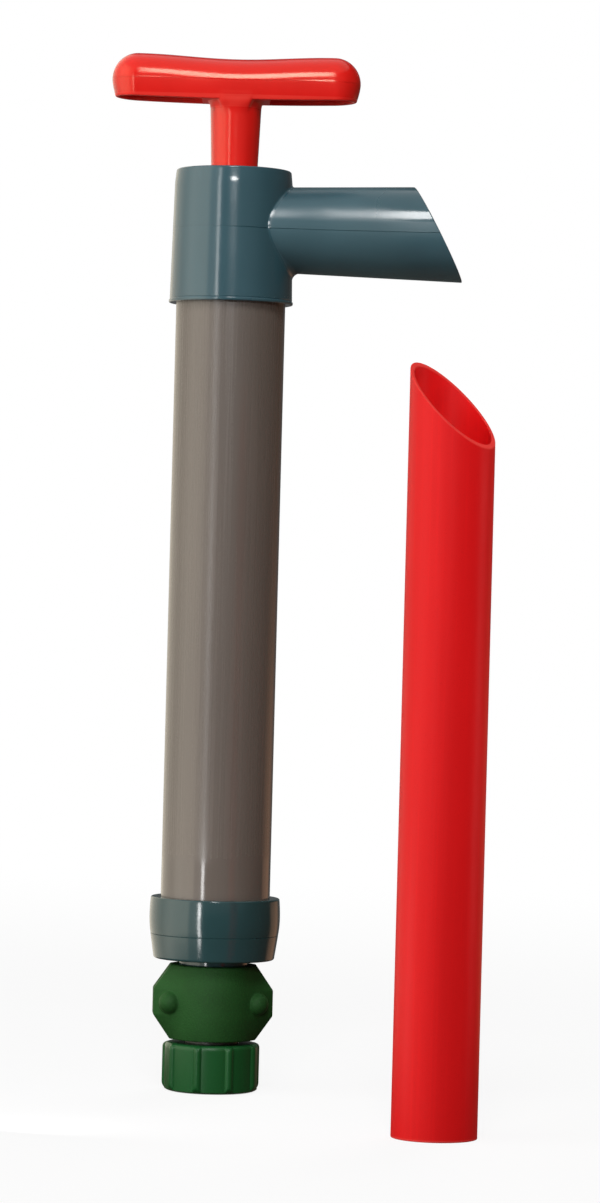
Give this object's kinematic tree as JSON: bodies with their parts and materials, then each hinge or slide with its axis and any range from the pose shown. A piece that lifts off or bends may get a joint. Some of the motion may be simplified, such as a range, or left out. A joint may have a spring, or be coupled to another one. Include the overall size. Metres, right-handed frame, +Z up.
{
  "type": "fuel transfer hand pump",
  "caption": "Upright hand pump with a T-handle plunger, side spout, foot valve and swivel hose coupling, with a loose slant-cut extension tube standing beside it.",
  "frame": {"origin": "centre of the hose nut's mouth, on the pump's axis, at the surface that the pump stands on", "axes": "+Z up along the pump's axis, +X along the spout, -Y towards the front"},
  "size_m": [0.1461, 0.1717, 0.4006],
  "materials": {
    "barrel_pipe": "satin extruded pipe",
    "rod_pipe": "satin extruded pipe",
    "head_plastic": "glossy moulded plastic",
    "cap_plastic": "glossy moulded plastic",
    "handle_plastic": "glossy moulded plastic",
    "tube_plastic": "satin extruded tube",
    "clamp_plastic": "matte moulded plastic",
    "nut_plastic": "glossy moulded plastic",
    "acetal": "natural moulded plastic",
    "rubber": "black rubber",
    "steel": "zinc plated"
  },
  "bodies": {
    "barrel": {"barrel_tube": "barrel_pipe", "pump_head": "head_plastic", "rod_guide_bush": "acetal", "rod_wiper_seal": "rubber", "seal_retainer": "steel", "bottom_cap": "cap_plastic", "foot_valve_seat": "acetal", "foot_valve_pin": "acetal", "coupling_stem": "acetal", "clamp_half_front": "clamp_plastic", "clamp_half_rear": "clamp_plastic", "clamp_screws": "steel"},
    "foot_valve": {"foot_valve_disc": "rubber"},
    "piston": {"piston_body": "acetal", "piston_cup_seal": "rubber"},
    "piston_valve": {"piston_valve_flap": "rubber"},
    "plunger": {"plunger_rod": "rod_pipe", "rod_end_plug": "acetal", "piston_washer": "steel", "piston_screw": "steel", "t_handle": "handle_plastic", "handle_pin": "steel"},
    "coupling": {"coupling_nut": "nut_plastic", "hose_washer": "rubber"},
    "extension": {"extension_tube": "tube_plastic"}
  },
  "joints": [
    {"name": "plunger_slide", "type": "slide", "parent": "barrel", "child": "piston", "axis": [0, 0, 1], "range_m": [0, 0.23]},
    {"name": "handle_turn", "type": "hinge", "parent": "piston", "child": "plunger", "pos_m": [0, 0, 0.08], "axis": [0, 0, 1], "continuous": true},
    {"name": "piston_valve_lift", "type": "slide", "parent": "piston", "child": "piston_valve", "axis": [0, 0, 1], "range_m": [0, 0.0022]},
    {"name": "foot_valve_lift", "type": "slide", "parent": "barrel", "child": "foot_valve", "axis": [0, 0, 1], "range_m": [0, 0.003]},
    {"name": "nut_spin", "type": "hinge", "parent": "barrel", "child": "coupling", "pos_m": [0, 0, 0.012], "axis": [0, 0, 1], "continuous": true},
    {"name": "tube_lift", "type": "slide", "parent": "barrel", "child": "extension", "axis": [0, 0, 1], "range_m": [0, 0.15]}
  ]
}
